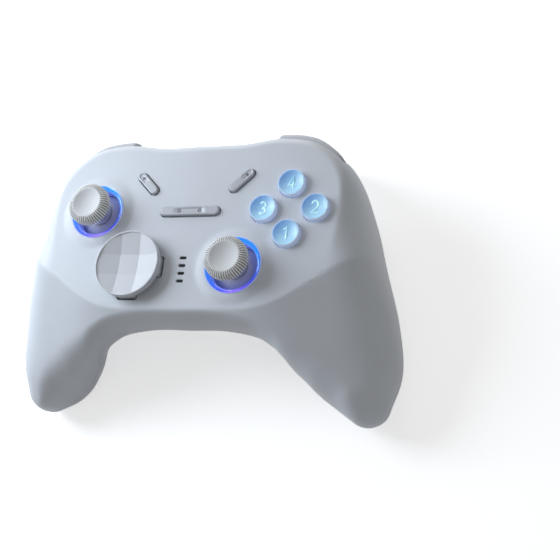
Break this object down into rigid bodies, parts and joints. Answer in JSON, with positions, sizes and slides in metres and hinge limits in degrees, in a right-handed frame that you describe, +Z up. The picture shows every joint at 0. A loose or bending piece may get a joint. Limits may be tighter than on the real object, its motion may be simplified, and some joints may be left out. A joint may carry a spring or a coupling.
{
  "type": "game controller",
  "caption": "Two-handed game controller with tilting click sticks in light rings, a disc direction pad, translucent face buttons, bumpers, analogue triggers and rumble weights.",
  "frame": {"origin": "middle of the box round the part, on the surface it rests on", "axes": "+X to the player's right, +Y towards the bumpers, +Z up out of the face"},
  "size_m": [0.156, 0.1114, 0.054],
  "materials": {
    "front_plastic": "fine matte texture",
    "back_plastic": "fine matte texture",
    "lever_plastic": "satin",
    "button_metal_look": "satin metallic paint",
    "pad_plastic": "satin",
    "cross_plastic": "satin",
    "clear_blue": "glossy, translucent",
    "ring_blue": "glossy, translucent",
    "smoked": "glossy",
    "cap_rubber": "matte",
    "pad_rubber": "matte",
    "steel": "plain",
    "dense_metal": "plain",
    "nylon": "matte",
    "dark_plastic": "matte",
    "board": "solder mask",
    "cell_wrap": "wrapped film"
  },
  "bodies": {
    "case": {"front_shell": "front_plastic", "back_shell": "back_plastic", "left_light_ring": "ring_blue", "right_light_ring": "ring_blue", "light_pipe": "smoked", "pad_membrane": "pad_rubber", "button_membrane": "pad_rubber", "menu_membrane": "pad_rubber", "bumper_pins": "steel", "trigger_pins": "steel", "trigger_springs": "steel", "bar_pin": "steel", "screws": "steel", "usb_socket": "steel", "left_motor": "steel", "right_motor": "steel", "pad_post": "nylon", "chassis": "dark_plastic", "left_trigger_frame": "dark_plastic", "right_trigger_frame": "dark_plastic", "bumper_switches": "dark_plastic", "trigger_sensors": "dark_plastic", "click_switches": "dark_plastic", "left_stick_housing": "dark_plastic", "right_stick_housing": "dark_plastic", "main_board": "board", "power_board": "board", "usb_board": "board", "left_ring_board": "board", "right_ring_board": "board", "battery": "cell_wrap"},
    "left_carriage": {"left_stick_carriage": "nylon"},
    "left_yoke": {"left_stick_yoke": "nylon"},
    "left_stick": {"left_stick_cap": "cap_rubber", "left_stick_shaft": "steel"},
    "left_bail": {"left_stick_bail": "nylon"},
    "right_carriage": {"right_stick_carriage": "nylon"},
    "right_yoke": {"right_stick_yoke": "nylon"},
    "right_stick": {"right_stick_cap": "cap_rubber", "right_stick_shaft": "steel"},
    "right_bail": {"right_stick_bail": "nylon"},
    "pad_gimbal": {"pad_gimbal": "steel"},
    "pad": {"pad_disc": "pad_plastic", "pad_cross": "cross_plastic"},
    "face_button_1": {"face_button_1": "clear_blue"},
    "face_button_2": {"face_button_2": "clear_blue"},
    "face_button_3": {"face_button_3": "clear_blue"},
    "face_button_4": {"face_button_4": "clear_blue"},
    "left_menu_button": {"left_menu_button": "button_metal_look"},
    "right_menu_button": {"right_menu_button": "button_metal_look"},
    "centre_bar": {"centre_bar": "button_metal_look"},
    "left_bumper": {"left_bumper": "lever_plastic"},
    "left_trigger": {"left_trigger": "lever_plastic"},
    "right_bumper": {"right_bumper": "lever_plastic"},
    "right_trigger": {"right_trigger": "lever_plastic"},
    "left_weight": {"left_weight": "dense_metal"},
    "right_weight": {"right_weight": "dense_metal"}
  },
  "joints": [
    {"name": "left_stick_click", "type": "slide", "parent": "case", "child": "left_carriage", "axis": [0, 0, -1], "range_m": [0, 0.0004], "stiffness_N_per_m": 3000, "springref_m": -0.0006},
    {"name": "left_stick_sideways", "type": "hinge", "parent": "left_carriage", "child": "left_yoke", "pos_m": [-0.0395, 0.01705, 0.0315], "axis": [0, 1, 0], "range_deg": [-17, 17], "stiffness_Nm_per_rad": 0.04},
    {"name": "left_stick_lengthways", "type": "hinge", "parent": "left_yoke", "child": "left_stick", "pos_m": [-0.0395, 0.01705, 0.0315], "axis": [1, 0, 0], "range_deg": [-17, 17], "stiffness_Nm_per_rad": 0.04},
    {"name": "left_bail_turn", "type": "hinge", "parent": "case", "child": "left_bail", "pos_m": [-0.0395, 0.01705, 0.0315], "axis": [1, 0, 0], "range_deg": [-19, 19]},
    {"name": "right_stick_click", "type": "slide", "parent": "case", "child": "right_carriage", "axis": [0, 0, -1], "range_m": [0, 0.0004], "stiffness_N_per_m": 3000, "springref_m": -0.0006},
    {"name": "right_stick_sideways", "type": "hinge", "parent": "right_carriage", "child": "right_yoke", "pos_m": [0.0205, -0.00565, 0.0315], "axis": [0, 1, 0], "range_deg": [-17, 17], "stiffness_Nm_per_rad": 0.04},
    {"name": "right_stick_lengthways", "type": "hinge", "parent": "right_yoke", "child": "right_stick", "pos_m": [0.0205, -0.00565, 0.0315], "axis": [1, 0, 0], "range_deg": [-17, 17], "stiffness_Nm_per_rad": 0.04},
    {"name": "right_bail_turn", "type": "hinge", "parent": "case", "child": "right_bail", "pos_m": [0.0205, -0.00565, 0.0315], "axis": [1, 0, 0], "range_deg": [-19, 19]},
    {"name": "pad_up_down", "type": "hinge", "parent": "case", "child": "pad_gimbal", "pos_m": [-0.0207, -0.00605, 0.041], "axis": [1, 0, 0], "range_deg": [-4, 4], "stiffness_Nm_per_rad": 0.08},
    {"name": "pad_left_right", "type": "hinge", "parent": "pad_gimbal", "child": "pad", "pos_m": [-0.0207, -0.00605, 0.041], "axis": [0, 1, 0], "range_deg": [-4, 4], "stiffness_Nm_per_rad": 0.08},
    {"name": "face_button_1_press", "type": "slide", "parent": "case", "child": "face_button_1", "axis": [0, 0, -1], "range_m": [0, 0.0014], "stiffness_N_per_m": 500, "springref_m": -0.001},
    {"name": "face_button_2_press", "type": "slide", "parent": "case", "child": "face_button_2", "axis": [0, 0, -1], "range_m": [0, 0.0014], "stiffness_N_per_m": 500, "springref_m": -0.001},
    {"name": "face_button_3_press", "type": "slide", "parent": "case", "child": "face_button_3", "axis": [0, 0, -1], "range_m": [0, 0.0014], "stiffness_N_per_m": 500, "springref_m": -0.001},
    {"name": "face_button_4_press", "type": "slide", "parent": "case", "child": "face_button_4", "axis": [0, 0, -1], "range_m": [0, 0.0014], "stiffness_N_per_m": 500, "springref_m": -0.001},
    {"name": "left_menu_press", "type": "slide", "parent": "case", "child": "left_menu_button", "axis": [0, 0, -1], "range_m": [0, 0.0008], "stiffness_N_per_m": 600, "springref_m": -0.0008},
    {"name": "right_menu_press", "type": "slide", "parent": "case", "child": "right_menu_button", "axis": [0, 0, -1], "range_m": [0, 0.0008], "stiffness_N_per_m": 600, "springref_m": -0.0008},
    {"name": "centre_bar_rock", "type": "hinge", "parent": "case", "child": "centre_bar", "pos_m": [0, 0.01635, 0.0396], "axis": [0, 1, 0], "range_deg": [-2.5, 2.5], "stiffness_Nm_per_rad": 0.06},
    {"name": "left_bumper_press", "type": "hinge", "parent": "case", "child": "left_bumper", "pos_m": [-0.02721, 0.04119, 0.034], "axis": [0, 0, 1], "range_deg": [0, 1.8], "stiffness_Nm_per_rad": 0.8, "springref_deg": -2.86},
    {"name": "left_trigger_pull", "type": "hinge", "parent": "case", "child": "left_trigger", "pos_m": [-0.03775, 0.03975, 0.0225], "axis": [-1, 0, 0], "range_deg": [0, 18], "stiffness_Nm_per_rad": 0.05, "springref_deg": -11.46},
    {"name": "right_bumper_press", "type": "hinge", "parent": "case", "child": "right_bumper", "pos_m": [0.02721, 0.04119, 0.034], "axis": [0, 0, -1], "range_deg": [0, 1.8], "stiffness_Nm_per_rad": 0.8, "springref_deg": -2.86},
    {"name": "right_trigger_pull", "type": "hinge", "parent": "case", "child": "right_trigger", "pos_m": [0.03775, 0.03975, 0.0225], "axis": [-1, 0, 0], "range_deg": [0, 18], "stiffness_Nm_per_rad": 0.05, "springref_deg": -11.46},
    {"name": "left_weight_spin", "type": "hinge", "parent": "case", "child": "left_weight", "pos_m": [-0.0585, -0.01325, 0.018], "axis": [0, 1, 0], "continuous": true},
    {"name": "right_weight_spin", "type": "hinge", "parent": "case", "child": "right_weight", "pos_m": [0.0585, -0.01325, 0.018], "axis": [0, 1, 0], "continuous": true}
  ],
  "couplings": [
    {"joint": "left_bail_turn", "follows": "left_stick_lengthways", "ratio": 1},
    {"joint": "right_bail_turn", "follows": "right_stick_lengthways", "ratio": 1}
  ]
}
